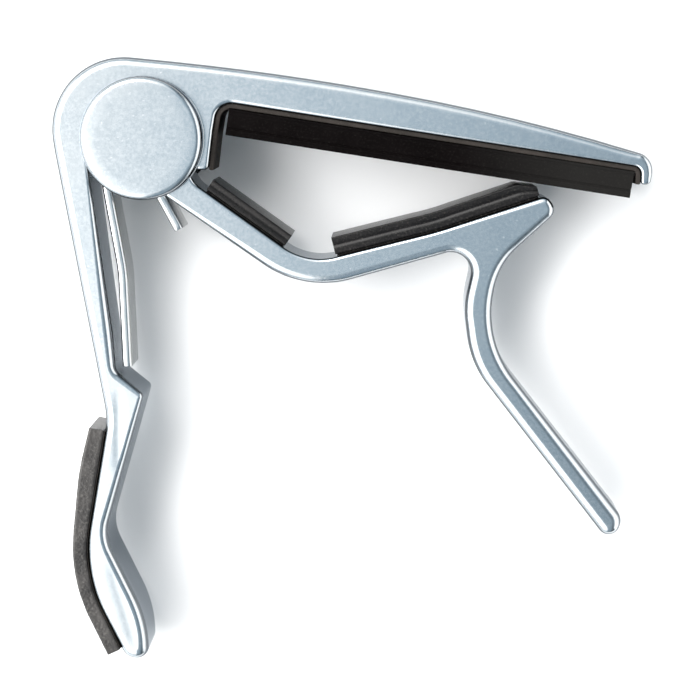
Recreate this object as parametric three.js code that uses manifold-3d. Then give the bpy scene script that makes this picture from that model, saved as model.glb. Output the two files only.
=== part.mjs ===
// Spring-clamp guitar capo with a hand trigger, at rest (jaws closed).
// Millimetres. The origin is on the pivot axis, in the plane of the rear cap's outer face.
// +X runs along the string arm, +Y away from the palm handle, +Z along the pivot axis.
import * as THREE from 'three';
import { mergeVertices } from 'three/addons/utils/BufferGeometryUtils.js';
import Module from 'manifold-3d';

const wasm = await Module();
wasm.setup();

// ---- driving dimensions -------------------------------------------------------------------
const CAP_HEIGHT = 2.8; // each pivot cap stands this far out of the castings
const CASTING_DEPTH = 10.4; // frame casting, across its two faces
const MID_Z = CAP_HEIGHT + CASTING_DEPTH / 2;
const EDGE = 0.45; // rounding of the castings' long edges
const CHORD_ERROR = 0.025; // how far a rounded corner's chords may leave its arc

const BORE_RADIUS = 8.4; // knuckle bore that the trigger's ears turn in
const BORE_END = -25; // degrees, where the knuckle stops at its lip
const CAP_RADIUS = 8.8;
const CAP_FACE_RADIUS = 8.1;
const EAR_RADIUS = 8.1;
const EAR_THICKNESS = 0.9;
const TRIGGER_CLEARANCE = 0.15; // trigger casting to each cap
const WASHER = { inner: 2.3, outer: 7.4, thickness: 0.25, gap: 0.05 };
const PIN = { radius: 2.0, hole: 2.2, socketDepth: 1.8, endGap: 0.1 };
const ARBOR_RADIUS = 5.2;

const SPRING = { thickness: 1.4, depth: 7.6, radius: 6.6, legAngle: 9.6, endAngle: -66 };
const SPRING_SPACE_RADIUS = 7.6;

const LINER_THICKNESS = 0.65;
const LINER_DEPTH = 9.2;
const PAD_DEPTH = 9.6; // all rubber pads, across the castings
const STRING_PAD_THICKNESS = 3.85;
const TAPE_THICKNESS = 0.25;
const NECK_PAD_THICKNESS = 2.65;
const GRIP_THICKNESS = 1.8;
const FIT = 0.05; // gap on each side of a glued layer

// ---- outlines: corners as [x, y, corner radius] -----------------------------------------------
// Inner side of the string arm: lip of the knuckle, its wall, the underside and the hooked tip.
const ARM_INNER = [
  [7.05, -4.55, 0.6],
  [9.3, -4.55, 0.7],
  [10.0, 0.9, 2.5],
  [10.8, 5.2, 2.4],
  [71.1, -4.1, 1.2],
  [71.1, -6.6, 0.5],
];
// Back of the frame: tip, long crown of the arm, shoulder of the knuckle, down to the palm grip.
const FRAME_BACK = [
  [72.45, -6.6, 0.8],
  [73.1, -2.8, 2.7],
  [53.2, 3.2, 300],
  [19.1, 9.3, 400],
  [-14.6, 12.7, 10.5],
  [-12.9, -1.8, 40],
];
// Seat of the palm grip, from its upper end to the tip of the handle.
const PALM_SEAT = [
  [-6.0, -41.0, 12],
  [-10.1, -63.8, 22],
  [-3.9, -77.1, 2.3],
];
// Finger side of the handle, from its tip up past the ledge.
const HANDLE_INNER = [
  [-0.4, -77.5, 1.8],
  [-0.6, -71.1, 19],
  [-6.7, -58.4, 6.7],
  [-0.5, -37.2, 0.8],
  [-4.6, -33.7, 2.0],
  [-5.0, -28.0, 60],
];
// Jaw from its root to its tip, over the seats of both neck pads.
const JAW_TOP = [
  [6.3, -3.9, 0],
  [7.1, -6.4, 3.4],
  [23.4, -18.05, 9],
  [42.0, -13.4, 60],
  [57.7, -8.2, 1.3],
];
// Outer and inner sides of the finger lever, and back under the jaw to its root.
const LEVER = [
  [59.4, -10.4, 1.6],
  [51.6, -17.6, 10.4],
  [48.3, -28.3, 16],
  [69.8, -55.7, 2.3],
  [68.0, -59.6, 1.7],
  [47.1, -32.6, 14.4],
  [46.0, -24.2, 13.3],
  [48.0, -15.2, 2.9],
  [22.8, -22.3, 15.1],
  [3.3, -8.45, 0.6],
  [1.5, -5.0, 0],
];

// ---- geometry helpers -------------------------------------------------------------------------
const radians = THREE.MathUtils.degToRad;
const polar = (radius, degrees) =>
  new THREE.Vector2(Math.cos(radians(degrees)), Math.sin(radians(degrees))).multiplyScalar(radius);

// Points of an arc, ends included, with chords no further from it than CHORD_ERROR.
function arcPoints(centre, radius, start, end) {
  const step = 2 * Math.acos(1 - CHORD_ERROR / Math.max(radius, 4 * CHORD_ERROR));
  const count = Math.max(2, Math.ceil(Math.abs(end - start) / step));
  const points = [];
  for (let i = 0; i <= count; i++) {
    const angle = start + ((end - start) * i) / count;
    points.push(new THREE.Vector2(Math.cos(angle), Math.sin(angle)).multiplyScalar(radius).add(centre));
  }
  return points;
}

// Replaces each corner [x, y, radius] by its tangent arc. An open path keeps its two ends.
function roundCorners(corners, closed = true) {
  const points = [];
  const at = (i) => new THREE.Vector2(...corners[(i + corners.length) % corners.length]);
  corners.forEach(([x, y, radius], i) => {
    const corner = new THREE.Vector2(x, y);
    const end = !closed && (i === 0 || i === corners.length - 1);
    if (end || !radius) {
      points.push(corner);
      return;
    }
    const toLast = at(i - 1).sub(corner).normalize();
    const toNext = at(i + 1).sub(corner).normalize();
    const half = Math.acos(THREE.MathUtils.clamp(toLast.dot(toNext), -1, 1)) / 2;
    const centre = toLast.clone().add(toNext).normalize().multiplyScalar(radius / Math.sin(half)).add(corner);
    const first = corner.clone().addScaledVector(toLast, radius / Math.tan(half)).sub(centre).angle();
    const last = corner.clone().addScaledVector(toNext, radius / Math.tan(half)).sub(centre).angle();
    const turn = THREE.MathUtils.euclideanModulo(last - first + Math.PI, 2 * Math.PI) - Math.PI;
    points.push(...arcPoints(centre, radius, first, first + turn));
  });
  return points;
}

// Moves an open path of corners sideways, to its right when distance is positive.
function offsetCorners(corners, distance) {
  return corners.map(([x, y, radius], i) => {
    const corner = new THREE.Vector2(x, y);
    const before = new THREE.Vector2(...corners[Math.max(i - 1, 0)]);
    const after = new THREE.Vector2(...corners[Math.min(i + 1, corners.length - 1)]);
    const into = (i > 0 ? corner.clone().sub(before) : after.clone().sub(corner)).normalize();
    const out = (i < corners.length - 1 ? after.clone().sub(corner) : into.clone()).normalize();
    const side = new THREE.Vector2(into.y + out.y, -into.x - out.x).normalize();
    const miter = distance / side.dot(new THREE.Vector2(into.y, -into.x));
    const turnsRight = into.cross(out) < 0;
    return [x + side.x * miter, y + side.y * miter, radius + (turnsRight ? -distance : distance)];
  });
}

// Closed outline of a strip of even thickness along an open line of points.
function stripOutline(line, thickness) {
  const side = line.map((point, i) => {
    const before = line[Math.max(i - 1, 0)];
    const after = line[Math.min(i + 1, line.length - 1)];
    const along = after.clone().sub(before).normalize();
    return new THREE.Vector2(-along.y, along.x).multiplyScalar(thickness / 2);
  });
  const left = line.map((point, i) => point.clone().add(side[i]));
  const right = line.map((point, i) => point.clone().sub(side[i]));
  return [...left, ...right.reverse()];
}

// Slab between two heights, with its edges rounded inside the outline.
function slab(points, bottom, top, edge = 0) {
  const distinct = points.filter((p, i) => p.distanceTo(points[(i + 1) % points.length]) > 0.01);
  const geometry = new THREE.ExtrudeGeometry(new THREE.Shape(distinct), {
    depth: top - bottom - 2 * edge,
    bevelEnabled: edge > 0,
    bevelThickness: edge,
    bevelSize: edge,
    bevelOffset: -edge,
    bevelSegments: 3,
  });
  return geometry.translate(0, 0, bottom + edge);
}

const centredSlab = (points, depth, edge) => slab(points, MID_Z - depth / 2, MID_Z + depth / 2, edge);

// Solid of revolution about the pivot axis, from a closed profile of [radius, z].
function turned(profile, segments = 96) {
  const points = profile.map(([radius, z]) => new THREE.Vector2(radius, z));
  if (profile[0][0] > 0) {
    points.push(points[0].clone());
  }
  return new THREE.LatheGeometry(points, segments).rotateX(Math.PI / 2);
}

const ring = (inner, outer, bottom, top) =>
  turned([
    [inner, bottom],
    [outer, bottom],
    [outer, top],
    [inner, top],
  ]);

const disc = (radius, bottom, top) =>
  turned([
    [0, bottom],
    [radius, bottom],
    [radius, top],
    [0, top],
  ]);

function toManifold(geometry) {
  const bare = geometry.clone();
  bare.deleteAttribute('normal');
  bare.deleteAttribute('uv');
  const merged = mergeVertices(bare, 1e-4);
  const triangles = [];
  for (let i = 0; i < merged.index.count; i += 3) {
    const [a, b, c] = merged.index.array.subarray(i, i + 3);
    if (a !== b && b !== c && c !== a) {
      triangles.push(a, b, c);
    }
  }
  const mesh = new wasm.Mesh({
    numProp: 3,
    vertProperties: new Float32Array(merged.attributes.position.array),
    triVerts: new Uint32Array(triangles),
  });
  return new wasm.Manifold(mesh);
}

function toGeometry(manifold) {
  const { vertProperties, triVerts } = manifold.getMesh();
  const geometry = new THREE.BufferGeometry();
  geometry.setAttribute('position', new THREE.BufferAttribute(vertProperties, 3));
  geometry.setIndex(new THREE.BufferAttribute(triVerts, 1));
  geometry.computeVertexNormals();
  return geometry;
}

// ---- materials ----------------------------------------------------------------------------------
const materials = {
  castAlloy: { color: 0xa9bcc6, roughness: 0.38, metalness: 0.9 },
  springSteel: { color: 0xc9cdd0, roughness: 0.25, metalness: 1.0 },
  pinSteel: { color: 0x8d9196, roughness: 0.3, metalness: 1.0 },
  nylon: { color: 0xd9d6cc, roughness: 0.6, metalness: 0.0 },
  bronze: { color: 0x9a7442, roughness: 0.4, metalness: 0.9 },
  rubber: { color: 0x191614, roughness: 0.7, metalness: 0.0 },
  liner: { color: 0x2a2725, roughness: 0.8, metalness: 0.0 },
  tape: { color: 0x0d0c0c, roughness: 0.9, metalness: 0.0 },
  grip: { color: 0x3b3936, roughness: 0.85, metalness: 0.0 },
  glue: { color: 0xd8d4c6, roughness: 0.5, metalness: 0.0 },
};

const capo = new THREE.Group();

function addPart(name, geometry, look) {
  const mesh = new THREE.Mesh(geometry, new THREE.MeshStandardMaterial(materials[look]));
  mesh.name = name;
  capo.add(mesh);
}

// ---- frame casting ------------------------------------------------------------------------------
// The finger side of the handle runs up as a tangent of the knuckle bore.
function boreTangentAngle([x, y]) {
  const corner = new THREE.Vector2(x, y);
  const toCentre = THREE.MathUtils.radToDeg(corner.clone().negate().angle());
  const spread = THREE.MathUtils.radToDeg(Math.asin(BORE_RADIUS / corner.length()));
  return toCentre + spread + 90;
}

function frameOutline() {
  const start = boreTangentAngle(HANDLE_INNER.at(-1));
  const boreStart = polar(BORE_RADIUS, start);
  const boreEnd = polar(BORE_RADIUS, BORE_END);
  const corners = [
    [boreEnd.x, boreEnd.y, 0],
    ...ARM_INNER,
    ...FRAME_BACK,
    ...PALM_SEAT,
    ...HANDLE_INNER,
    [boreStart.x, boreStart.y, 0],
  ];
  const bore = arcPoints(new THREE.Vector2(), BORE_RADIUS, radians(start), radians(BORE_END));
  return [...roundCorners(corners), ...bore.slice(1, -1)];
}

addPart('frame_casting', centredSlab(frameOutline(), CASTING_DEPTH, EDGE), 'castAlloy');

// ---- trigger casting ----------------------------------------------------------------------------
// Jaw and finger lever, with two round ears that turn in the knuckle and hold the spring between.
const earOuter = CAP_HEIGHT + WASHER.thickness + 2 * WASHER.gap;
const earInner = earOuter + EAR_THICKNESS;
const mirrored = (z) => 2 * MID_Z - z;

function triggerCasting() {
  const depth = CASTING_DEPTH - 2 * TRIGGER_CLEARANCE;
  const outline = roundCorners([...JAW_TOP, ...LEVER]);
  const washerRoom = EAR_RADIUS + 0.2;
  return toGeometry(
    toManifold(centredSlab(outline, depth, EDGE))
      .subtract(toManifold(disc(washerRoom, 0, earOuter)))
      .subtract(toManifold(disc(washerRoom, mirrored(earOuter), mirrored(0))))
      .subtract(toManifold(disc(SPRING_SPACE_RADIUS, earInner, mirrored(earInner))))
      .add(toManifold(ring(PIN.hole, EAR_RADIUS, earOuter, earInner)))
      .add(toManifold(ring(PIN.hole, EAR_RADIUS, mirrored(earInner), mirrored(earOuter))))
  );
}

addPart('trigger_casting', triggerCasting(), 'castAlloy');

// ---- pivot --------------------------------------------------------------------------------------
// Blind cap: drafted side, rounded rim, flat face, and a socket for the end of the pin.
function capProfile() {
  const rim = CAP_RADIUS - 0.1 - CAP_FACE_RADIUS;
  const shoulder = CAP_HEIGHT - rim;
  const rounded = arcPoints(new THREE.Vector2(CAP_FACE_RADIUS, shoulder), rim, 0, Math.PI / 2);
  return [
    [0, PIN.socketDepth],
    [PIN.radius + FIT, PIN.socketDepth],
    [PIN.radius + FIT, 0],
    [CAP_RADIUS, 0],
    ...rounded.map((p) => [p.x, p.y]),
    [0, CAP_HEIGHT],
  ];
}

const cap = turned(capProfile());
addPart('front_pivot_cap', cap.clone().translate(0, 0, CAP_HEIGHT + CASTING_DEPTH), 'castAlloy');
addPart('rear_pivot_cap', cap.clone().rotateX(Math.PI).translate(0, 0, CAP_HEIGHT), 'castAlloy');

const pinStart = CAP_HEIGHT - PIN.socketDepth + PIN.endGap;
addPart('pivot_pin', disc(PIN.radius, pinStart, mirrored(pinStart)), 'pinSteel');

const arborStart = earInner + 0.1;
addPart('spring_arbor', ring(PIN.hole, ARBOR_RADIUS, arborStart, mirrored(arborStart)), 'nylon');

const washerStart = CAP_HEIGHT + WASHER.gap;
const washerEnd = washerStart + WASHER.thickness;
addPart('rear_thrust_washer', ring(WASHER.inner, WASHER.outer, washerStart, washerEnd), 'bronze');
addPart(
  'front_thrust_washer',
  ring(WASHER.inner, WASHER.outer, mirrored(washerEnd), mirrored(washerStart)),
  'bronze'
);

// ---- torsion spring -----------------------------------------------------------------------------
// One flat strip: long leg up the handle, loop over the arbor, and a short leg on the jaw's root.
function springLine() {
  const loop = arcPoints(
    new THREE.Vector2(),
    SPRING.radius,
    radians(180 + SPRING.legAngle),
    radians(SPRING.endAngle)
  );
  const longLeg = [
    [-3.0, -33.3, 0],
    [-3.45, -19.2, 25],
    [loop[0].x, loop[0].y, 0],
  ];
  const shortLeg = [
    [loop.at(-1).x, loop.at(-1).y, 0],
    [1.3, -6.62, 1.0],
    [4.85, -13.25, 0],
  ];
  return [...roundCorners(longLeg, false), ...loop.slice(1, -1), ...roundCorners(shortLeg, false)];
}

const springOutline = stripOutline(springLine(), SPRING.thickness);
addPart('torsion_spring', centredSlab(springOutline, SPRING.depth), 'springSteel');

// ---- string arm rubber --------------------------------------------------------------------------
const seatBelow = (corners, gap, thickness) => offsetCorners(corners, gap + thickness / 2);

function linerOutline() {
  const path = seatBelow(ARM_INNER.slice(1), FIT, LINER_THICKNESS);
  return stripOutline(roundCorners(path, false), LINER_THICKNESS);
}

addPart('string_pad_liner', centredSlab(linerOutline(), LINER_DEPTH), 'liner');

// The pad hangs straight under the liner, with a little draft on its two ends.
function stringPadOutline() {
  const [wallTop, hookTop] = [ARM_INNER[3], ARM_INNER[4]].map(([x, y]) => new THREE.Vector2(x, y));
  const along = hookTop.clone().sub(wallTop).normalize();
  const down = new THREE.Vector2(along.y, -along.x);
  const place = (s, depth) => wallTop.clone().addScaledVector(along, s).addScaledVector(down, depth);
  const top = LINER_THICKNESS + 2 * FIT;
  const length = hookTop.distanceTo(wallTop);
  const bottom = top + STRING_PAD_THICKNESS;
  return [
    place(1.9, top),
    place(1.45, bottom),
    place(length - 0.75, bottom),
    place(length - 1.0, top),
  ];
}

addPart('string_pad', centredSlab(stringPadOutline(), PAD_DEPTH, 0.3), 'rubber');

// ---- neck pads and their tapes ------------------------------------------------------------------
// Point over a seat of the jaw: s along it from a corner towards the next, height above it.
function onSeat(corner, next, s, height) {
  const from = new THREE.Vector2(corner[0], corner[1]);
  const along = new THREE.Vector2(next[0], next[1]).sub(from).normalize();
  return from.addScaledVector(along, s).add(new THREE.Vector2(-along.y, along.x).multiplyScalar(height));
}

const padBase = TAPE_THICKNESS + 2 * FIT;
const padTop = padBase + NECK_PAD_THICKNESS;
const [, jawRoot, jawValley, jawKnee, jawTip] = JAW_TOP;
const innerSpan = [2.1, 15.9];
const outerSpan = { start: 4.3, knee: 19.17, end: 15.6 };

const innerLayer = (low, high) => [
  onSeat(jawRoot, jawValley, innerSpan[0], low),
  onSeat(jawRoot, jawValley, innerSpan[1], low),
  onSeat(jawRoot, jawValley, innerSpan[1], high),
  onSeat(jawRoot, jawValley, innerSpan[0], high),
];

addPart('inner_neck_pad_tape', centredSlab(innerLayer(FIT, FIT + TAPE_THICKNESS), PAD_DEPTH - 0.4), 'tape');
addPart('inner_neck_pad', centredSlab(innerLayer(padBase, padTop), PAD_DEPTH, 0.3), 'rubber');

// The outer pad's tip is pressed thinner where it meets the string pad.
const outerLayer = (low, high, tipHigh) => [
  onSeat(jawValley, jawKnee, outerSpan.start, low),
  onSeat(jawValley, jawKnee, outerSpan.knee, low),
  onSeat(jawKnee, jawTip, outerSpan.end, low),
  onSeat(jawKnee, jawTip, outerSpan.end, tipHigh),
  onSeat(jawKnee, jawTip, outerSpan.end - 7, high),
  onSeat(jawValley, jawKnee, outerSpan.knee, high),
  onSeat(jawValley, jawKnee, outerSpan.start, high),
];

const tapeTop = FIT + TAPE_THICKNESS;
addPart('outer_neck_pad_tape', centredSlab(outerLayer(FIT, tapeTop, tapeTop), PAD_DEPTH - 0.4), 'tape');
addPart('outer_neck_pad', centredSlab(outerLayer(padBase, padTop, 1.65), PAD_DEPTH, 0.3), 'rubber');

// ---- palm grip ----------------------------------------------------------------------------------
// A sheet bonded along the outside of the handle, on a thin bed of glue.
function palmLayer(gap, thickness) {
  const [top, bend, tip] = PALM_SEAT;
  const upper = new THREE.Vector2(top[0], top[1]).lerp(new THREE.Vector2(bend[0], bend[1]), 0.1);
  const lower = new THREE.Vector2(tip[0], tip[1]).lerp(new THREE.Vector2(bend[0], bend[1]), 0.09);
  const path = [[upper.x, upper.y, 0], bend, [lower.x, lower.y, 0]];
  const line = roundCorners(seatBelow(path, gap, thickness), false);
  return stripOutline(line, thickness);
}

addPart('palm_grip_glue', centredSlab(palmLayer(FIT, 0.15), PAD_DEPTH - 0.4), 'glue');
addPart('palm_grip', centredSlab(palmLayer(0.15 + 2 * FIT, GRIP_THICKNESS), PAD_DEPTH, 0.3), 'grip');

export default capo;
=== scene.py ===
"""Spring-clamp guitar capo: detailed pieces, materials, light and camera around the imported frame."""

import math

import bmesh
import bpy
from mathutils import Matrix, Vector, noise


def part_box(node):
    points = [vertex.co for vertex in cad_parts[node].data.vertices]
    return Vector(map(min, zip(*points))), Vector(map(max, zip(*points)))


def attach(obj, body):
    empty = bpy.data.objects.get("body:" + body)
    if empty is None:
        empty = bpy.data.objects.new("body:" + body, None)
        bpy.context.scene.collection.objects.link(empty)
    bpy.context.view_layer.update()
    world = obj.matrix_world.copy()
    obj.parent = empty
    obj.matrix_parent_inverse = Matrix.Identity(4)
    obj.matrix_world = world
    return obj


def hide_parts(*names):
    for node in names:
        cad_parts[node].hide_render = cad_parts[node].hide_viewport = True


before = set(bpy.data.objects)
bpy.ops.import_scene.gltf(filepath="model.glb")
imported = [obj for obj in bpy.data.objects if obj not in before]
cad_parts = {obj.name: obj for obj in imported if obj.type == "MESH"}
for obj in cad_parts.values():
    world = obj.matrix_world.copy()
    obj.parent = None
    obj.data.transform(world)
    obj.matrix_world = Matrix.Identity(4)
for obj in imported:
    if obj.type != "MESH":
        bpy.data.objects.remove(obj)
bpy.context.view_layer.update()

MM = 0.001
STEP = 0.12  # mm, longest chord on rounded corners
SPAN = 0.8  # mm, longest chord on straight stretches
SAME = 1e-4  # mm, points closer than this are one point
TURN_STEP = 1.5  # degrees, least turn from one point of an arc to the next
FEWEST = 6  # steps in an arc, even where they turn less than that
TIGHTEST = 0.86  # most edge rounding on a convex corner, as a share of its radius
FREE = 9.0  # mm, more than any edge rounding, so no limit on it


def z_range(node):
    """Lowest and highest z of a CAD node, in mm."""
    low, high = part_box(node)
    return low.z / MM, high.z / MM


# ---- driving dimensions, mm ----------------------------------------------------------------------
CASTING = z_range("frame_casting")
MID_Z = sum(CASTING) / 2
FRONT = z_range("front_pivot_cap")
TRIGGER = z_range("trigger_casting")
PAD = z_range("string_pad")
LINER = z_range("string_pad_liner")
GRIP = z_range("palm_grip")
SPRING_Z = z_range("torsion_spring")

BORE_RADIUS = 8.4
BORE_END = -25  # degrees, where the bore meets the arm
CAP_RADIUS = 8.8
EAR_RADIUS = 8.1
EAR_THICKNESS = 0.9
EAR_START = 0.35  # front of each ear, behind its cap
CAP_ROOM = EAR_RADIUS + 0.2  # radius cut away between the trigger and the caps
BEYOND = 1.0  # how far a cutter reaches past what it cuts
PIN_HOLE = 2.2
SPRING_SPACE = 7.6
SPRING = {"thickness": 1.4, "radius": 6.6, "leg_angle": 9.6, "end_angle": -66}  # angles in degrees
LONG_LEG = [(-3.0, -33.3, 0, 0), (-3.45, -19.2, 25, 0)]  # from its tip to the loop, as the outlines below
SHORT_LEG = [(1.3, -6.62, 1.0, 0), (4.85, -13.25, 0, 0)]  # from the loop to its tip
LINER_THICKNESS = 0.65
STRING_PAD_THICKNESS = 3.85
STRING_PAD_ENDS = (1.7, 0.85)  # from the wall and from the hook
WORN_SPAN = (45, 62)  # x where the string pad turns to its worn colour
STRING_RIBS = ((0.14, 0.12, 0.10), (0.74, 0.14, 0.16))  # grooves as (share of height, width, depth)
NECK_RIBS = ((0.52, 0.28, 0.16),)
TAPE_THICKNESS = 0.25
TAPE_INSET = 0.2  # from the edges of the pad above it
INNER_PAD_HEIGHT = 1.7
OUTER_PAD_HEIGHT = 2.5
TIP_PRESS_LENGTH = 2.6
TIP_TOP = 1.65  # top of the outer pad at its tip, over the jaw
INNER_SPAN = (2.1, 15.9)  # inner pad, from the root of the jaw
OUTER_SPAN = {"start": 4.3, "knee": 19.17, "end": 15.6}  # outer pad, from the valley and the knee
GLUE_THICKNESS = 0.08
GLUE_INSET = 0.3
GLUE_GAP = 0.02
GRIP_OUTSIDE = 2.25  # from the palm seat to the outside of the grip
GRIP_SWELL = {"most": 0.55, "at": 0.18, "width": 0.17}  # at and width as shares of its length
PEBBLE = {"size": 0.30, "depth": 0.06}
SINK_MARKS = (((-4.1, -36.0), (-4.3, -50.0), 0.8), ((-6.0, -61.5), (-1.8, -76.0), 1.0))  # start, end, width
SINK_DEPTH = 0.036
FIT = 0.05  # gap on each side of a bonded layer
PAD_BASE = TAPE_THICKNESS + 2 * FIT
END = 0.15  # chamfer on the ends of strips
EDGE = {  # edge rounding of the strips and of the neck and string pads
    "spring": 0.5, "liner": 0.12, "tape": 0.06, "grip": 0.3, "glue": 0.03, "neck": 0.2, "string": 0.25,
}

# ---- outlines: corners as (x, y, corner radius, edge rounding) -----------------------------------
ARM_INNER = [
    (7.05, -4.55, 0.6, 0.45),
    (9.3, -4.55, 0.7, 0.5),
    (10.0, 0.9, 2.5, 0.5),
    (10.8, 5.2, 2.4, 0.6),
    (71.1, -4.1, 1.2, 0.4),
    (71.1, -6.6, 0.5, 0.36),
]
FRAME_BACK = [
    (72.45, -6.6, 0.8, 0.5),
    (73.1, -2.8, 2.7, 0.85),
    (53.2, 3.2, 300, 1.2),
    (19.1, 9.3, 400, 1.2),
    (-14.6, 12.7, 10.5, 1.3),
    (-12.9, -1.8, 40, 1.4),
]
PALM_SEAT = [
    (-6.0, -41.0, 12, 1.25),
    (-10.1, -63.8, 22, 1.2),
    (-3.9, -77.1, 2.3, 1.5),
]
HANDLE_INNER = [
    (-0.4, -77.5, 1.8, 1.5),
    (-0.6, -71.1, 19, 1.3),
    (-6.7, -58.4, 6.7, 1.05),
    (-0.5, -37.2, 0.8, 0.7),
    (-4.6, -33.7, 2.0, 1.0),
    (-5.0, -28.0, 60, 1.2),
]
JAW_TOP = [
    (6.3, -3.9, 0, 0.3),
    (7.1, -6.4, 3.4, 0.5),
    (23.4, -18.05, 9, 0.5),
    (42.0, -13.4, 60, 0.5),
    (57.7, -8.2, 1.3, 0.8),
]
LEVER = [
    (59.4, -10.4, 1.6, 1.0),
    (51.6, -17.6, 10.4, 1.2),
    (48.3, -28.3, 16, 1.2),
    (69.8, -55.7, 2.3, 1.5),
    (68.0, -59.6, 1.7, 1.4),
    (47.1, -32.6, 14.4, 1.3),
    (46.0, -24.2, 13.3, 1.2),
    (48.0, -15.2, 2.9, 1.2),
    (22.8, -22.3, 15.1, 1.2),
    (3.3, -8.45, 0.6, 0.5),
    (1.5, -5.0, 0, 0.3),
]
JAW_ROOT, JAW_VALLEY, JAW_KNEE, JAW_TIP = JAW_TOP[1:]


# ---- outline helpers, in mm ----------------------------------------------------------------------
def polar(radius, degrees):
    angle = math.radians(degrees)
    return Vector((radius * math.cos(angle), radius * math.sin(angle)))


def arc(centre, radius, start, end, step=STEP):
    """Points of an arc, ends included; angles in radians."""
    count = max(FEWEST, math.ceil(abs(end - start) * radius / step))
    count = min(count, max(FEWEST, math.ceil(abs(end - start) / math.radians(TURN_STEP))))
    angles = [start + (end - start) * i / count for i in range(count + 1)]
    return [Vector((math.cos(a), math.sin(a))) * radius + centre for a in angles]


def rounded(corners, closed=True):
    """(point, edge rounding, most it may be) along an outline with tangent arcs at its corners."""
    made = []
    for i, (x, y, radius, edge) in enumerate(corners):
        corner = Vector((x, y))
        end = not closed and i in (0, len(corners) - 1)
        if end or not radius:
            made.append((corner, edge, edge))
            continue
        to_last = (Vector(corners[i - 1][:2]) - corner).normalized()
        to_next = (Vector(corners[(i + 1) % len(corners)][:2]) - corner).normalized()
        half = math.acos(max(-1, min(1, to_last.dot(to_next)))) / 2
        centre = corner + (to_last + to_next).normalized() * (radius / math.sin(half))
        first = corner + to_last * (radius / math.tan(half)) - centre
        last = corner + to_next * (radius / math.tan(half)) - centre
        start = math.atan2(first.y, first.x)
        turn = (math.atan2(last.y, last.x) - start + math.pi) % (2 * math.pi) - math.pi
        most = TIGHTEST * radius if turn > 0 else FREE
        made += [(p, edge, most) for p in arc(centre, radius, start, start + turn)]
    return made


def subdivided(path, closed=True, span=SPAN):
    """Adds points to the long straight stretches, with the edge rounding changing evenly."""
    made = []
    for i, (point, edge, most) in enumerate(path):
        if made and (point - made[-1][0]).length < SAME:
            continue
        made.append((point, edge, most))
        if not closed and i == len(path) - 1:
            break
        after, after_edge, _ = path[(i + 1) % len(path)]
        count = math.ceil((after - point).length / span)
        for k in range(1, count):
            t = k / count
            made.append((point.lerp(after, t), edge + (after_edge - edge) * t, FREE))
    if closed and (made[0][0] - made[-1][0]).length < SAME:
        made.pop()
    return made


def smoothed_edges(path, rounds=16):
    """Evens out the edge rounding along a closed outline, and keeps it under the corners' radii."""
    edges = [min(edge, most) for _, edge, most in path]
    for _ in range(rounds):
        edges = [(edges[i - 1] + 2 * e + edges[(i + 1) % len(edges)]) / 4 for i, e in enumerate(edges)]
        edges = [min(e, most) for e, (_, _, most) in zip(edges, path)]
    return [(point, edge) for (point, _, _), edge in zip(path, edges)]


def closed_path(corners):
    """The finished closed outline of some corners, turned anticlockwise."""
    twice_area = sum(a[0] * b[1] - b[0] * a[1] for a, b in zip(corners, [*corners[1:], corners[0]]))
    return smoothed_edges(subdivided(rounded(corners if twice_area > 0 else corners[::-1])))


def outward(points):
    """Unit normals, with their mitre, on the right of a closed anticlockwise outline."""
    normals = []
    for i, point in enumerate(points):
        into = (point - points[i - 1]).normalized()
        out = (points[(i + 1) % len(points)] - point).normalized()
        side = Vector((into.y + out.y, -into.x - out.x)).normalized()
        normals.append(side / max(0.5, side.dot(Vector((into.y, -into.x)))))
    return normals


def offset_corners(corners, distance):
    """Moves an open path of corners to its right by a distance."""
    moved = []
    for i, (x, y, radius, edge) in enumerate(corners):
        corner = Vector((x, y))
        before = Vector(corners[max(i - 1, 0)][:2])
        after = Vector(corners[min(i + 1, len(corners) - 1)][:2])
        into = (corner - before if i else after - corner).normalized()
        out = (after - corner if i < len(corners) - 1 else into).normalized()
        side = Vector((into.y + out.y, -into.x - out.x)).normalized()
        mitre = distance / side.dot(Vector((into.y, -into.x)))
        turns_right = into.x * out.y - into.y * out.x < 0
        new_radius = radius - distance if turns_right else radius + distance
        moved.append((x + side.x * mitre, y + side.y * mitre, new_radius, edge))
    return moved


# ---- mesh helpers --------------------------------------------------------------------------------
def new_object(name, bm, material, smooth=40):
    """Puts a bmesh, in mm, into the scene in metres, shaded smooth up to an angle in degrees."""
    mesh = bpy.data.meshes.new(name)
    bmesh.ops.recalc_face_normals(bm, faces=bm.faces[:])
    bmesh.ops.scale(bm, vec=(MM,) * 3, verts=bm.verts[:])
    bm.to_mesh(mesh)
    bm.free()
    piece = bpy.data.objects.new(name, mesh)
    bpy.context.scene.collection.objects.link(piece)
    mesh.shade_smooth()
    mesh.set_sharp_from_angle(angle=math.radians(smooth))
    mesh.materials.append(material)
    return piece


def loops_to_mesh(bm, loops, cap_ends=True):
    """Skins a stack of equally long, closed vertex loops."""
    rings = [[bm.verts.new(p) for p in loop] for loop in loops]
    count = len(rings[0])
    for low, high in zip(rings, rings[1:]):
        for i in range(count):
            j = (i + 1) % count
            bm.faces.new((low[i], low[j], high[j], high[i]))
    if cap_ends:
        bm.faces.new(reversed(rings[0]))
        bm.faces.new(rings[-1])


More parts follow.
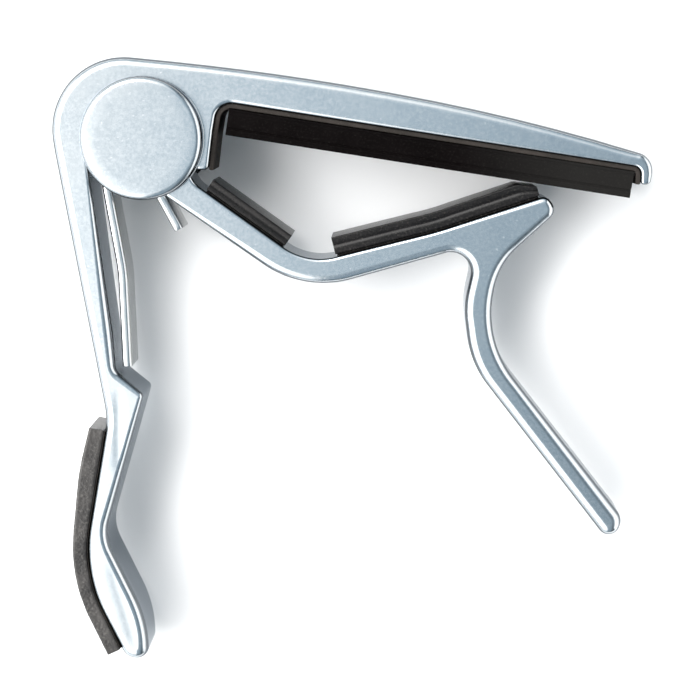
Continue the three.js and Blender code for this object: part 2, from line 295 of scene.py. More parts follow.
def rounded_slab(path, low, high, segments=8):
    """bmesh of an outline between two heights, its edges rounded by each point's own amount."""
    bm = bmesh.new()
    points = [p for p, _ in path]
    normals = outward(points)
    edges = [e for _, e in path]

    def loop(share_in, share_up, extra_in, extra_up, top):
        made = []
        for p, n, e in zip(points, normals, edges):
            q = p - n * (e * share_in + extra_in)
            rise = e * share_up + extra_up
            made.append((q.x, q.y, high - rise if top else low + rise))
        return made

    support = 0.06
    angles = [math.pi / 2 * k / segments for k in range(segments + 1)]
    bottom = [loop(1, 0, support, 0, False)]
    bottom += [loop(1 - math.sin(a), 1 - math.cos(a), 0, 0, False) for a in angles]
    bottom += [loop(0, 1, 0, support, False)]
    top = [loop(1, 0, support, 0, True)]
    top += [loop(1 - math.sin(a), 1 - math.cos(a), 0, 0, True) for a in angles]
    top += [loop(0, 1, 0, support, True)]
    loops_to_mesh(bm, bottom + top[::-1])
    return bm


def circle(radius, z, segments=192):
    spin = [2 * math.pi * k / segments for k in range(segments)]
    return [(radius * math.cos(a), radius * math.sin(a), z) for a in spin]


def turned(name, profile, material, flip_about=None):
    """Solid of revolution about the pivot axis from (radius, z) points in mm, mirrored if asked."""
    bm = bmesh.new()
    if flip_about is not None:
        profile = [(radius, 2 * flip_about - z) for radius, z in profile]
    loops_to_mesh(bm, [circle(radius, z) for radius, z in profile])
    return new_object(name, bm, material)


def disc_bmesh(radius, low, high):
    bm = bmesh.new()
    loops_to_mesh(bm, [circle(radius, low), circle(radius, high)])
    return bm


def ring_bmesh(inner, outer, low, high):
    bm = bmesh.new()
    corners = ((inner, low), (outer, low), (outer, high), (inner, high), (inner, low))
    loops_to_mesh(bm, [circle(*corner) for corner in corners], cap_ends=False)
    bmesh.ops.remove_doubles(bm, verts=bm.verts[:], dist=SAME)
    return bm


def boolean(piece, bm, operation):
    """Joins or cuts a piece with a throwaway solid."""
    other = new_object("cutter", bm, piece.data.materials[0])
    modifier = piece.modifiers.new("boolean", "BOOLEAN")
    modifier.operation = operation
    modifier.solver = "EXACT"
    modifier.object = other
    evaluated = piece.evaluated_get(bpy.context.evaluated_depsgraph_get())
    mesh = bpy.data.meshes.new_from_object(evaluated)
    piece.modifiers.clear()
    old = piece.data
    piece.data = mesh
    bpy.data.meshes.remove(old)
    bpy.data.objects.remove(other)


def finish_piece(piece, body, slot, *nodes):
    """Says on which body a piece rides and hides the CAD nodes that it replaces; slot is not used."""
    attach(piece, body)
    if nodes:
        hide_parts(*nodes)


# ---- materials -----------------------------------------------------------------------------------
class Nodes:
    """Short hand for building a node tree."""

    def __init__(self, name):
        self.material = bpy.data.materials.new(name)
        self.material.use_nodes = True
        self.tree = self.material.node_tree
        self.shader = self.tree.nodes["Principled BSDF"]
        self.position = self.add("ShaderNodeTexCoord").outputs["Object"]

    def add(self, kind, **values):
        node = self.tree.nodes.new(kind)
        for key, value in values.items():
            setattr(node, key, value)
        return node

    def link(self, source, target):
        self.tree.links.new(source, target)

    def set(self, **values):
        for key, value in values.items():
            self.shader.inputs[key.replace("_", " ")].default_value = value

    def noise(self, size_mm, detail=3.0, roughness=0.5, stretch=None):
        """Noise whose features are about size_mm across."""
        vector = self.position
        if stretch:
            mapping = self.add("ShaderNodeMapping")
            mapping.inputs["Scale"].default_value = stretch
            self.link(vector, mapping.inputs["Vector"])
            vector = mapping.outputs["Vector"]
        node = self.add("ShaderNodeTexNoise")
        node.inputs["Scale"].default_value = 1 / (size_mm * MM)
        node.inputs["Detail"].default_value = detail
        node.inputs["Roughness"].default_value = roughness
        self.link(vector, node.inputs["Vector"])
        return node.outputs["Fac"]

    def remap(self, source, low, high, to_low, to_high):
        node = self.add("ShaderNodeMapRange")
        node.clamp = True
        for key, value in zip(("From Min", "From Max", "To Min", "To Max"), (low, high, to_low, to_high)):
            node.inputs[key].default_value = value
        self.link(source, node.inputs["Value"])
        return node.outputs["Result"]

    def mix(self, factor, first, second):
        node = self.add("ShaderNodeMix", data_type="RGBA")
        sockets = node.inputs
        factor_socket, a_socket, b_socket = sockets[0], sockets[6], sockets[7]
        for socket, value in ((factor_socket, factor), (a_socket, first), (b_socket, second)):
            if isinstance(value, bpy.types.NodeSocket):
                self.link(value, socket)
            else:
                socket.default_value = value
        return node.outputs[2]

    def math(self, operation, first, second=0.0):
        node = self.add("ShaderNodeMath", operation=operation)
        for socket, value in zip(node.inputs, (first, second)):
            if isinstance(value, bpy.types.NodeSocket):
                self.link(value, socket)
            else:
                socket.default_value = value
        return node.outputs[0]

    def paint_shade_on_edges_and_sides(self, steep, face, colour, edge, wall):
        """A colour on the faces, a painted shade on the steep part of the rounded edges, and another painted
        shade on the sides.

        steep and face are how far up the surface has to face, from 0 to 1, for the edge and the face colour.
        """
        facing = self.add("ShaderNodeSeparateXYZ")
        self.link(self.add("ShaderNodeNewGeometry").outputs["Normal"], facing.inputs[0])
        lean = self.math("ABSOLUTE", facing.outputs["Z"])
        # Painted shade: the edge colour darkens the steep part of the rounded edges into a dark outline.
        colour = self.mix(self.remap(lean, steep, face, 1, 0), colour, edge)
        upright, leaning = 0.05, 0.20
        # Painted shade: the wall colour on the upright sides stands in for their dimmer reflections.
        return self.mix(self.remap(lean, upright, leaning, 1, 0), colour, wall)

    def valley(self, start, end, width):
        """Height of a shallow valley along a line between two points, all in mm: -1 in it, 0 beside it."""
        start, end = Vector(start), Vector(end)
        along = (end - start).normalized()
        place = self.add("ShaderNodeVectorMath", operation="SUBTRACT")
        self.link(self.position, place.inputs[0])
        place.inputs[1].default_value = (start.x * MM, start.y * MM, 0)

        def component(direction):
            dot = self.add("ShaderNodeVectorMath", operation="DOT_PRODUCT")
            self.link(place.outputs[0], dot.inputs[0])
            dot.inputs[1].default_value = (direction.x, direction.y, 0)
            return dot.outputs["Value"]

        across = self.math("DIVIDE", component(Vector((-along.y, along.x))), width * MM)
        depth = self.math("EXPONENT", self.math("MULTIPLY", self.math("MULTIPLY", across, across), -1.0))
        run, length = component(along), (end - start).length * MM
        fade = 3 * MM
        depth = self.math("MULTIPLY", depth, self.remap(run, 0, fade, 0, -1))
        return self.math("MULTIPLY", depth, self.remap(run, length - fade, length, 1, 0))

    def bump(self, height, depth_mm, normal=None):
        node = self.add("ShaderNodeBump")
        node.inputs["Strength"].default_value = 1.0
        node.inputs["Distance"].default_value = depth_mm * MM
        self.link(height, node.inputs["Height"])
        if normal:
            self.link(normal, node.inputs["Normal"])
        return node.outputs["Normal"]


def rgb(red, green, blue):
    """sRGB 0 to 255 as linear RGBA."""
    def linear(v):
        v /= 255
        return v / 12.92 if v <= 0.04045 else ((v + 0.055) / 1.055) ** 2.4
    return (linear(red), linear(green), linear(blue), 1.0)


def cast_alloy():
    """Tumbled cast aluminium: bluish grey, fine grain, small bright nicks, painted shade on the edges and
    sides, and sink marks.
    """
    dark, light = (0.70, 0.76, 0.80, 1), (0.75, 0.80, 0.83, 1)
    speck, nick = (0.85, 0.88, 0.90, 1), (0.95, 0.96, 0.97, 1)
    # edge and side are painted shade: a dark outline band on the steep part of the edges, and darker upright
    # sides.
    edge, side = (0.12, 0.13, 0.14, 1), (0.30, 0.32, 0.34, 1)
    n = Nodes("cast_alloy")
    n.set(Metallic=1.0, Specular_Tint=(0.72, 0.75, 0.78, 1))
    grain = n.noise(0.45, 4.0, 0.65)
    cloud = n.noise(5.0, 3.0)
    tint = n.mix(n.remap(cloud, 0.35, 0.65, 0, 1), dark, light)
    tint = n.mix(n.remap(grain, 0.42, 0.66, 0, 0.55), tint, speck)
    nicks = n.noise(0.6, 2.0, 0.5)
    tint = n.mix(n.remap(nicks, 0.71, 0.75, 0, 1), tint, nick)
    # Painted shade on the steep part of the edges and on the sides.
    tint = n.paint_shade_on_edges_and_sides(0.58, 0.78, tint, edge, side)
    n.link(tint, n.shader.inputs["Base Color"])
    n.link(n.remap(grain, 0.3, 0.7, 0.15, 0.22), n.shader.inputs["Roughness"])
    sunken = None
    for start, end, width in SINK_MARKS:
        sunken = n.bump(n.valley(start, end, width), SINK_DEPTH, sunken)
    wavy = n.bump(n.noise(3.5, 2.0), 0.006, sunken)
    n.link(n.bump(grain, 0.0022, wavy), n.shader.inputs["Normal"])
    return n.material


def spring_steel():
    """Drawn wire with fine streaks along it, and painted shade on its edges and sides."""
    n = Nodes("spring_steel")
    n.set(Metallic=1.0, Specular_Tint=(0.95, 0.95, 0.95, 1))
    streak = n.noise(0.5, 4.0, stretch=(1.0, 0.12, 1.0))
    bright = n.mix(streak, rgb(214, 217, 219), rgb(242, 243, 243))
    # Painted shade: a dark band on the steep part of the rounded edges, and greyer sides.
    colour = n.paint_shade_on_edges_and_sides(0.4, 0.6, bright, rgb(120, 120, 118), rgb(196, 196, 194))
    n.link(colour, n.shader.inputs["Base Color"])
    n.link(n.remap(streak, 0.3, 0.7, 0.12, 0.24), n.shader.inputs["Roughness"])
    n.link(n.bump(streak, 0.0015), n.shader.inputs["Normal"])
    return n.material


def rubber(name, dark, light, rough=(0.42, 0.6), pebble=0.25, depth=0.02, gloss=0.5, speck=0.3, worn=None):
    """Rubber with a cloudy tone and light specks; worn is a colour towards the tip of the arm."""
    n = Nodes(name)
    n.set(Specular_IOR_Level=gloss)
    fine = n.noise(pebble, 5.0, 0.6)
    cloud = n.noise(4.0, 3.0)
    colour = n.mix(n.remap(cloud, 0.3, 0.7, 0, 1), dark, light)
    if worn:
        along = n.add("ShaderNodeSeparateXYZ")
        n.link(n.position, along.inputs[0])
        start, end = WORN_SPAN
        colour = n.mix(n.remap(along.outputs["X"], start * MM, end * MM, 0, 1), colour, worn)
    colour = n.mix(n.remap(fine, 0.55, 0.70, 0, speck), colour, rgb(96, 93, 88))
    n.link(colour, n.shader.inputs["Base Color"])
    n.link(n.remap(fine, 0.3, 0.7, *rough), n.shader.inputs["Roughness"])
    n.link(n.bump(fine, depth), n.shader.inputs["Normal"])
    return n.material


def plain(name, colour, metallic=0.0, rough=(0.35, 0.5)):
    """One colour, a little mottled."""
    n = Nodes(name)
    n.set(Metallic=metallic)
    fine = n.noise(0.4, 4.0)
    n.link(n.mix(n.remap(fine, 0.3, 0.7, 0, 0.3), colour, rgb(235, 230, 220)), n.shader.inputs["Base Color"])
    n.link(n.remap(fine, 0.3, 0.7, *rough), n.shader.inputs["Roughness"])
    n.link(n.bump(fine, 0.003), n.shader.inputs["Normal"])
    return n.material


ALLOY = cast_alloy()
STEEL = spring_steel()
STRING_RUBBER = rubber("string_pad_rubber", rgb(4, 2, 2), rgb(9, 6, 6), (0.3, 0.45), gloss=0.04, speck=0.06,
                       worn=rgb(30, 29, 28))
PAD_RUBBER = rubber("neck_pad_rubber", rgb(10, 9, 9), rgb(20, 18, 18), (0.25, 0.40), gloss=0.3)
LINER_RUBBER = rubber("liner_rubber", rgb(38, 35, 32), rgb(54, 49, 46), (0.6, 0.8), 0.3, 0.05, 0.15)
GRIP_RUBBER = rubber("grip_rubber", rgb(22, 20, 20), rgb(66, 63, 61), (0.28, 0.42), 0.3, 0.04, speck=0.7)
TAPE = rubber("tape", rgb(9, 8, 8), rgb(15, 13, 13), rough=(0.8, 0.9), gloss=0.1)
GLUE = rubber("glue", rgb(34, 30, 27), rgb(60, 54, 48), (0.35, 0.5), 0.6, 0.03, gloss=0.3)
NYLON = plain("nylon", rgb(205, 200, 186))
BRONZE = plain("bronze", rgb(160, 120, 70), 1.0)
PIN_STEEL = plain("pin_steel", rgb(150, 152, 155), 1.0, (0.2, 0.35))


# ---- castings ------------------------------------------------------------------------------------
def frame_path():
    """Outline of the frame casting: the inner line of the handle runs tangent into the pivot bore."""
    x, y = HANDLE_INNER[-1][:2]
    spread = math.degrees(math.asin(BORE_RADIUS / Vector((x, y)).length))
    start = math.degrees(math.atan2(-y, -x)) + spread + 90
    bore_edge = 0.3
    first, last = polar(BORE_RADIUS, BORE_END), polar(BORE_RADIUS, start)
    corners = [*ARM_INNER, *FRAME_BACK, *PALM_SEAT, *HANDLE_INNER]
    path = rounded([(*first, 0, bore_edge), *corners, (*last, 0, bore_edge)])
    turn = math.radians((start - BORE_END) % 360)
    begin = math.radians(start)
    bore = [(p, bore_edge, bore_edge) for p in arc(Vector((0, 0)), BORE_RADIUS, begin, begin - turn)]
    return smoothed_edges(subdivided(path + bore[1:-1]))


def make_frame_casting():
    piece = new_object("frame_body", rounded_slab(frame_path(), *CASTING), ALLOY)
    finish_piece(piece, "frame", "cast_alloy", "frame_casting")


def make_trigger():
    piece = new_object("trigger_body", rounded_slab(closed_path([*JAW_TOP, *LEVER]), *TRIGGER), ALLOY)
    lower, upper = CASTING[0] + EAR_START, CASTING[1] - EAR_START
    low_inner, high_inner = lower + EAR_THICKNESS, upper - EAR_THICKNESS
    # Room for the caps and for the spring, then the two ears.
    boolean(piece, disc_bmesh(CAP_ROOM, CASTING[0] - BEYOND, lower), "DIFFERENCE")
    boolean(piece, disc_bmesh(CAP_ROOM, upper, CASTING[1] + BEYOND), "DIFFERENCE")
    boolean(piece, disc_bmesh(SPRING_SPACE, low_inner, high_inner), "DIFFERENCE")
    boolean(piece, ring_bmesh(PIN_HOLE, EAR_RADIUS, lower, low_inner), "UNION")
    boolean(piece, ring_bmesh(PIN_HOLE, EAR_RADIUS, high_inner, upper), "UNION")
    piece.data.set_sharp_from_angle(angle=math.radians(30))
    finish_piece(piece, "trigger", "cast_alloy", "trigger_casting")


def cap_profile():
    """Half section of a cap as (radius, z): foot, rounded rim, and a face that falls a little at the rim."""
    rim, crown, fall = 0.95, 1.6, 0.03
    axis, steps = 0.02, 12
    lean = 2 * fall / crown
    base, top = FRONT
    foot = CAP_RADIUS
    wall = foot - 0.06
    profile = [(axis, base), (foot - 0.15, base), (foot, base + 0.12), (foot, base + 0.3)]
    rim_height = top - fall - rim * math.cos(lean)
    profile += [(wall, base + 0.36), (wall, rim_height - 0.05)]
    for k in range(steps + 1):
        a = (math.pi / 2 - lean) * k / steps
        profile.append((wall - rim + rim * math.cos(a), rim_height + rim * math.sin(a)))
    face = profile[-1][0]
    for k in range(1, steps + 1):
        profile.append((face - crown * k / steps, top - fall * (1 - k / steps) ** 2))
    profile += [(face / 2, top), (axis, top)]
    return profile


def make_caps():
    front = turned("front_cap", cap_profile(), ALLOY)
    rear = turned("rear_cap", cap_profile(), ALLOY, flip_about=MID_Z)
    finish_piece(front, "frame", "cast_alloy", "front_pivot_cap")
    finish_piece(rear, "frame", "cast_alloy", "rear_pivot_cap")


# ---- strips and bars -----------------------------------------------------------------------------
def strip_section(half_width, half_depth, edge, segments, spacing):
    """Rounded rectangle, with extra points along its sides when a spacing is given."""
    section = []
    for sx, sy in ((1, 1), (-1, 1), (-1, -1), (1, -1)):
        for k in range(segments + 1):
            a = math.atan2(sy, sx) - math.pi / 4 + math.pi / 2 * k / segments
            section.append(Vector((sx * (half_width - edge) + edge * math.cos(a),
                                   sy * (half_depth - edge) + edge * math.sin(a))))
    if not spacing:
        return section
    filled = []
    for here, after in zip(section, [*section[1:], section[0]]):
        count = max(1, math.ceil((after - here).length / spacing))
        filled += [here.lerp(after, k / count) for k in range(count)]
    return filled


def strip_mesh(line, thickness, low, high, edge, segments=5, spacing=0.0, swell=None):
    """bmesh of a strip along an open line, its long edges rounded, swollen on the right by some amounts."""
    swell = swell or [0.0] * len(line)
    sides = []
    for i, p in enumerate(line):
        along = (line[min(i + 1, len(line) - 1)] - line[max(i - 1, 0)]).normalized()
        sides.append(Vector((-along.y, along.x)))
    half, depth = thickness / 2, (high - low) / 2
    section = strip_section(half, depth, edge, segments, spacing)
    middle = (low + high) / 2
    last = len(line) - 1

    def from_ends(i):
        return min((line[i] - line[0]).length, (line[i] - line[last]).length)

    inside = [i for i in range(1, last) if from_ends(i) > 2 * END]
    part = 0.3 * END
    stations = [(0, 0, END), (0, part, part), (0, END, 0), *[(i, 0, 0) for i in inside]]
    stations += [(last, -END, 0), (last, -part, part), (last, 0, END)]
    bm = bmesh.new()
    loops = []
    for i, shift, shrink in stations:
        side = sides[i]
        place = line[i] + Vector((side.y, -side.x)) * shift - side * swell[i] / 2
        wide = (1 - shrink / half) * (1 + swell[i] / thickness)
        loops.append([(place.x + side.x * u * wide, place.y + side.y * u * wide,
                       middle + v * (1 - shrink / depth)) for u, v in section])
    loops_to_mesh(bm, loops)
    return bm


def pebbled(bm, size, depth):
    """Pushes the surface in by cellular pebbles of about the given size, in mm."""
    bm.normal_update()
    moves = []
    for vert in bm.verts:
        cell = noise.voronoi(vert.co / size)[0][0]
        swell = noise.noise(vert.co / (4 * size))
        moves.append(vert.normal * depth * (0.3 * swell - 1.1 * cell - 0.1))
    for vert, move in zip(bm.verts, moves):
        vert.co += move
    return bm


def open_line(corners, step=SPAN):
    """Points along an open path of corners."""
    return [p for p, _, _ in subdivided(rounded(corners, False), False, step)]


def spring_lines():
    """Middle lines of the spring's long leg, loop and short leg."""
    start, end = math.radians(180 + SPRING["leg_angle"]), math.radians(SPRING["end_angle"])
    loop = arc(Vector((0, 0)), SPRING["radius"], start, end)
    long_leg = open_line([*LONG_LEG, (*loop[0], 0, 0)])
    short_leg = open_line([(*loop[-1], 0, 0), *SHORT_LEG])
    return long_leg, loop, short_leg


def make_spring():
    """The spring in three overlapping runs: its loop and long leg stay, its short leg turns."""
    long_leg, loop, short_leg = spring_lines()
    overlap = 3
    runs = (
        ("spring_long_leg", long_leg + loop[1:overlap], "frame", ["torsion_spring"]),
        ("spring_loop", loop, "frame", []),
        ("spring_short_leg", loop[-overlap:-1] + short_leg, "trigger", []),
    )
    for name, line, body, nodes in runs:
        run = strip_mesh(line, SPRING["thickness"], *SPRING_Z, EDGE["spring"], 8)
        finish_piece(new_object(name, run, STEEL, smooth=60), body, "spring_steel", *nodes)


def make_liner():
    line = open_line(offset_corners(ARM_INNER[1:], FIT + LINER_THICKNESS / 2))
    strip = strip_mesh(line, LINER_THICKNESS, *LINER, EDGE["liner"], 3)
    piece = new_object("arm_liner", strip, LINER_RUBBER)
    finish_piece(piece, "frame", "pad_liner", "string_pad_liner")


def bar(name, stations, profile, material):
    """Extruded rubber bar: stations are (point, direction up, height), profile is (share of height, z)."""
    bm = bmesh.new()
    loops = []
    for point, up, height in stations:
        loops.append([(point.x + up.x * height * h, point.y + up.y * height * h, z) for h, z in profile])
    loops_to_mesh(bm, loops)
    return new_object(name, bm, material, smooth=35)


def grooved_profile(height, low, high, corner, grooves, samples=6):
    """Section of a bar as (share of height, z): rounded corners, and grooves along both sides."""
    side = []
    step = 0.05
    h = corner
    while h < height - corner + 1e-6:
        dip = sum(depth * math.exp(-(((h - at * height) / width) ** 2)) for at, width, depth in grooves)
        side.append((h, dip))
        h += step
    section = []
    for sign, z0 in ((1, high), (-1, low)):
        run = side if sign > 0 else side[::-1]
        body = [(h / height, z0 - sign * dip) for h, dip in run]
        first = [(corner * (1 - math.cos(a)) / height, z0 - sign * corner * (1 - math.sin(a)))
                 for a in [math.pi / 2 * k / samples for k in range(samples)]]
        last = [(1 - corner * (1 - math.sin(a)) / height, z0 - sign * corner * (1 - math.cos(a)))
                for a in [math.pi / 2 * k / samples for k in range(1, samples + 1)]]
        section += first + body + last if sign > 0 else [*last[::-1], *body, *first[::-1]]
    return section


def on_seat(corner, towards, s, height):
    """Point at a distance s along the seat from a corner towards the next, and at a height over it."""
    start = Vector(corner[:2])
    along = (Vector(towards[:2]) - start).normalized()
    return start + along * s + Vector((-along.y, along.x)) * height


def seat_up(corner, towards):
    """Direction straight out of the seat between two corners."""
    along = (Vector(towards[:2]) - Vector(corner[:2])).normalized()
    return Vector((-along.y, along.x))


def rubber_stations(first, last, step=0.4):
    """Evenly spaced distances along a rubber bar."""
    count = math.ceil((last - first) / step)
    return [first + (last - first) * k / count for k in range(count + 1)]


def make_neck_pads():
    profile = grooved_profile(INNER_PAD_HEIGHT, *PAD, EDGE["neck"], NECK_RIBS)
    up = seat_up(JAW_ROOT, JAW_VALLEY)
    first, last = INNER_SPAN
    stations = [(on_seat(JAW_ROOT, JAW_VALLEY, s, PAD_BASE), up, INNER_PAD_HEIGHT)
                for s in rubber_stations(first, last)]
    inner = bar("neck_pad_inner", stations, profile, PAD_RUBBER)
    finish_piece(inner, "trigger", "pad_rubber", "inner_neck_pad")

    profile = grooved_profile(OUTER_PAD_HEIGHT, *PAD, EDGE["neck"], NECK_RIBS)
    up_a, up_b = seat_up(JAW_VALLEY, JAW_KNEE), seat_up(JAW_KNEE, JAW_TIP)
    run = OUTER_SPAN["knee"] - OUTER_SPAN["start"]
    length = run + OUTER_SPAN["end"]
    bend = 6  # mm of the pad over which it turns at the knee
    stations = []
    for s in rubber_stations(0, length):
        turned_share = max(0.0, min(1.0, (s - run + bend / 2) / bend))
        up = up_a.lerp(up_b, turned_share).normalized()
        before = on_seat(JAW_VALLEY, JAW_KNEE, OUTER_SPAN["start"] + s, 0)
        after = on_seat(JAW_KNEE, JAW_TIP, s - run, 0)
        seat = before.lerp(after, turned_share)
        pressed = max(0.0, (s - length + TIP_PRESS_LENGTH) / TIP_PRESS_LENGTH)
        height = OUTER_PAD_HEIGHT - (OUTER_PAD_HEIGHT + PAD_BASE - TIP_TOP) * pressed
        stations.append((seat + up * PAD_BASE, up, height))
    outer = bar("neck_pad_outer", stations, profile, PAD_RUBBER)
    finish_piece(outer, "trigger", "pad_rubber", "outer_neck_pad")


def make_string_pad():
    wall, hook = Vector(ARM_INNER[3][:2]), Vector(ARM_INNER[4][:2])
    along = (hook - wall).normalized()
    down = Vector((along.y, -along.x))
    top = LINER_THICKNESS + 2 * FIT
    length = (hook - wall).length
    height = STRING_PAD_THICKNESS
    profile = grooved_profile(height, *PAD, EDGE["string"], STRING_RIBS)
    first, last = STRING_PAD_ENDS
    stations = [(wall + along * s + down * top, down, height) for s in rubber_stations(first, length - last)]
    piece = bar("string_bar_pad", stations, profile, STRING_RUBBER)
    finish_piece(piece, "frame", "pad_rubber", "string_pad")


def make_tapes():
    low, high = PAD[0] + TAPE_INSET, PAD[1] - TAPE_INSET
    middle = FIT + TAPE_THICKNESS / 2
    first, last = INNER_SPAN
    corners = [
        (*on_seat(JAW_ROOT, JAW_VALLEY, first + TAPE_INSET, middle), 0, 0),
        (*on_seat(JAW_ROOT, JAW_VALLEY, last - TAPE_INSET, middle), 0, 0),
    ]
    sheet = strip_mesh(open_line(corners), TAPE_THICKNESS, low, high, EDGE["tape"], 3)
    inner = new_object("neck_tape_inner", sheet, TAPE)
    finish_piece(inner, "trigger", "tape", "inner_neck_pad_tape")
    corners = [
        (*on_seat(JAW_VALLEY, JAW_KNEE, OUTER_SPAN["start"] + TAPE_INSET, middle), 0, 0),
        (*on_seat(JAW_KNEE, JAW_TIP, 0, middle), 60, 0),
        (*on_seat(JAW_KNEE, JAW_TIP, OUTER_SPAN["end"] - TAPE_INSET, middle), 0, 0),
    ]
    sheet = strip_mesh(open_line(corners), TAPE_THICKNESS, low, high, EDGE["tape"], 3)
    outer = new_object("neck_tape_outer", sheet, TAPE)
    finish_piece(outer, "trigger", "tape", "outer_neck_pad_tape")


def palm_line(gap, thickness, first=0.07, last=0.10, step=SPAN):
    """Middle line of a sheet that lies along the palm seat, between two shares of its length."""
    top, bend, tip = PALM_SEAT
    upper = Vector(top[:2]).lerp(Vector(bend[:2]), first)
    lower = Vector(tip[:2]).lerp(Vector(bend[:2]), last)
    return open_line(offset_corners([(*upper, 0, 0), bend, (*lower, 0, 0)], gap + thickness / 2), step)


def make_palm_grip():
    start = GLUE_GAP + GLUE_THICKNESS + GLUE_GAP
    thickness = GRIP_OUTSIDE - start
    grid = 0.14
    line = palm_line(start, thickness, step=grid)
    most, at, width = GRIP_SWELL["most"], GRIP_SWELL["at"], GRIP_SWELL["width"]
    swell = [most * math.exp(-((i / len(line) - at) / width) ** 2) for i in range(len(line))]
    sheet = strip_mesh(line, thickness, *GRIP, EDGE["grip"], 4, grid, swell)
    grip = new_object("palm_grip_sheet", pebbled(sheet, **PEBBLE), GRIP_RUBBER, smooth=80)
    finish_piece(grip, "frame", "grip_rubber", "palm_grip")
    line = palm_line(GLUE_GAP, GLUE_THICKNESS, 0.08, 0.11)
    bed = strip_mesh(line, GLUE_THICKNESS, GRIP[0] + GLUE_INSET, GRIP[1] - GLUE_INSET, EDGE["glue"], 3)
    glue = new_object("grip_glue_bed", bed, GLUE)
    finish_piece(glue, "frame", "glue", "palm_grip_glue")


def dress_cad():
    """Gives the small round parts that keep their CAD mesh their materials."""
    looks = {
        "pivot_pin": PIN_STEEL, "spring_arbor": NYLON, "rear_thrust_washer": BRONZE,
        "front_thrust_washer": BRONZE,
    }
    for name, material in looks.items():
        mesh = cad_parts[name].data
        mesh.materials.clear()
        mesh.materials.append(material)


make_frame_casting()
make_trigger()
make_caps()
make_spring()
make_liner()
make_string_pad()
make_tapes()
make_neck_pads()
make_palm_grip()
dress_cad()


# ---- floor, light and camera ---------------------------------------------------------------------
FLOOR_SIZE = 3.0  # m
FLOOR_COLOUR = (0.91, 0.91, 0.912, 1)
BACKDROP_COLOUR = (0.93, 0.94, 0.95, 1)
DIM_SKY = (0.70, 0.88, 1.02, 1)  # colour of the light where it is weak
BRIGHT_SKY = (1.0, 0.995, 0.985, 1)  # and where it is strong
CAMERA = {
    "place": (34.56, 7.61, 274.2),  # mm
    "turn": (-8.306, 1.089, 0),  # degrees about X, Y and Z, from looking straight down
    "sensor": 36,  # mm
    "lens": 93.7,  # mm
    "clip": (0.01, 10),  # m
}


def make_floor():
    mesh = bpy.data.meshes.new("floor")
    half = FLOOR_SIZE / 2
    corners = [(-half, -half, 0), (half, -half, 0), (half, half, 0), (-half, half, 0)]
    mesh.from_pydata(corners, [], [(0, 1, 2, 3)])
    floor = bpy.data.objects.new("floor", mesh)
    bpy.context.scene.collection.objects.link(floor)
    n = Nodes("floor_paper")
    n.set(Base_Color=FLOOR_COLOUR, Roughness=0.9, Specular_IOR_Level=0.1)
    mesh.materials.append(n.material)


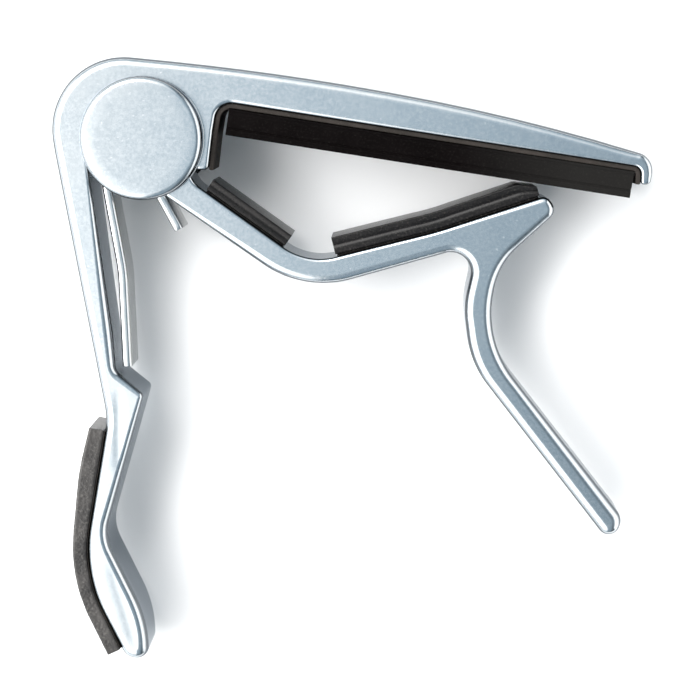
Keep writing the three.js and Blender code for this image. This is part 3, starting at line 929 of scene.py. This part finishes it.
def make_world():
    """A light tent as a function of direction; the camera itself sees a plain backdrop instead.

    The top is dim and brightens towards -X, with a softbox on that side. A bright ring stands round it,
    strongest towards -X and +Y. The light dims on the +X side, except for a low one far down.
    """
    world = bpy.data.worlds.new("studio")
    world.use_nodes = True
    bpy.context.scene.world = world
    tree = world.node_tree
    coord = tree.nodes.new("ShaderNodeTexCoord")
    split = tree.nodes.new("ShaderNodeSeparateXYZ")
    tree.links.new(coord.outputs["Generated"], split.inputs[0])

    def ramp(source, start, end, low, high):
        node = tree.nodes.new("ShaderNodeMapRange")
        node.interpolation_type = "SMOOTHSTEP"
        for key, value in zip(("From Min", "From Max", "To Min", "To Max"), (start, end, low, high)):
            node.inputs[key].default_value = value
        tree.links.new(source, node.inputs["Value"])
        return node.outputs["Result"]

    def combine(operation, first, second):
        node = tree.nodes.new("ShaderNodeMath")
        node.operation = operation
        for socket, value in zip(node.inputs, (first, second)):
            if isinstance(value, bpy.types.NodeSocket):
                tree.links.new(value, socket)
            else:
                socket.default_value = value
        return node.outputs[0]

    def product(first, *others):
        for other in others:
            first = combine("MULTIPLY", first, other)
        return first

    x, y, z = (split.outputs[axis] for axis in "XYZ")
    falling = combine("ADD", x, product(y, -0.5))
    overhead = combine("ADD", ramp(falling, 0.24, -0.12, 0.39, 0.75), ramp(falling, -0.11, -0.17, 0.0, 0.24))
    slanted = combine("ADD", x, product(y, 0.8))
    softbox = product(ramp(slanted, -0.22, -0.30, 0.0, 0.9), ramp(x, -0.05, -0.13, 0.0, 1.0))
    ring = product(
        ramp(z, 0.94, 0.80, 0.0, 8.8),
        ramp(z, 0.56, 0.68, 0.03, 1.0),
        ramp(x, -0.03, -0.20, 0.025, 1.0),
        ramp(y, -0.15, -0.40, 1.0, 0.12),
    )
    dimming = ramp(x, 0.25, 0.45, 0.0, -0.25)
    lights = combine("ADD", combine("ADD", combine("ADD", overhead, softbox), ring), dimming)
    lights = product(lights, ramp(z, 0.0, 0.50, 0.3, 1.0))
    low_light = ramp(x, 0.62, 0.76, 0.0, 1.35)
    strength = combine("ADD", lights, low_light)
    studio = tree.nodes["Background"]
    tree.links.new(strength, studio.inputs["Strength"])
    colour = tree.nodes.new("ShaderNodeMix")
    colour.data_type = "RGBA"
    tree.links.new(ramp(strength, 0.45, 1.15, 0.0, 1.0), colour.inputs[0])
    colour.inputs[6].default_value = DIM_SKY
    colour.inputs[7].default_value = BRIGHT_SKY
    tree.links.new(colour.outputs[2], studio.inputs["Color"])
    backdrop = tree.nodes.new("ShaderNodeBackground")
    backdrop.inputs["Color"].default_value = BACKDROP_COLOUR
    path = tree.nodes.new("ShaderNodeLightPath")
    choose = tree.nodes.new("ShaderNodeMixShader")
    tree.links.new(path.outputs["Is Camera Ray"], choose.inputs[0])
    tree.links.new(studio.outputs[0], choose.inputs[1])
    tree.links.new(backdrop.outputs[0], choose.inputs[2])
    tree.links.new(choose.outputs[0], tree.nodes["World Output"].inputs["Surface"])


def make_camera():
    camera = bpy.data.cameras.new("camera")
    camera.sensor_width, camera.lens = CAMERA["sensor"], CAMERA["lens"]
    camera.clip_start, camera.clip_end = CAMERA["clip"]
    eye = bpy.data.objects.new("camera", camera)
    eye.location = Vector(CAMERA["place"]) * MM
    eye.rotation_euler = [math.radians(angle) for angle in CAMERA["turn"]]
    bpy.context.scene.collection.objects.link(eye)
    bpy.context.scene.camera = eye


make_floor()
make_world()
make_camera()
bpy.context.scene.view_settings.view_transform = "Standard"
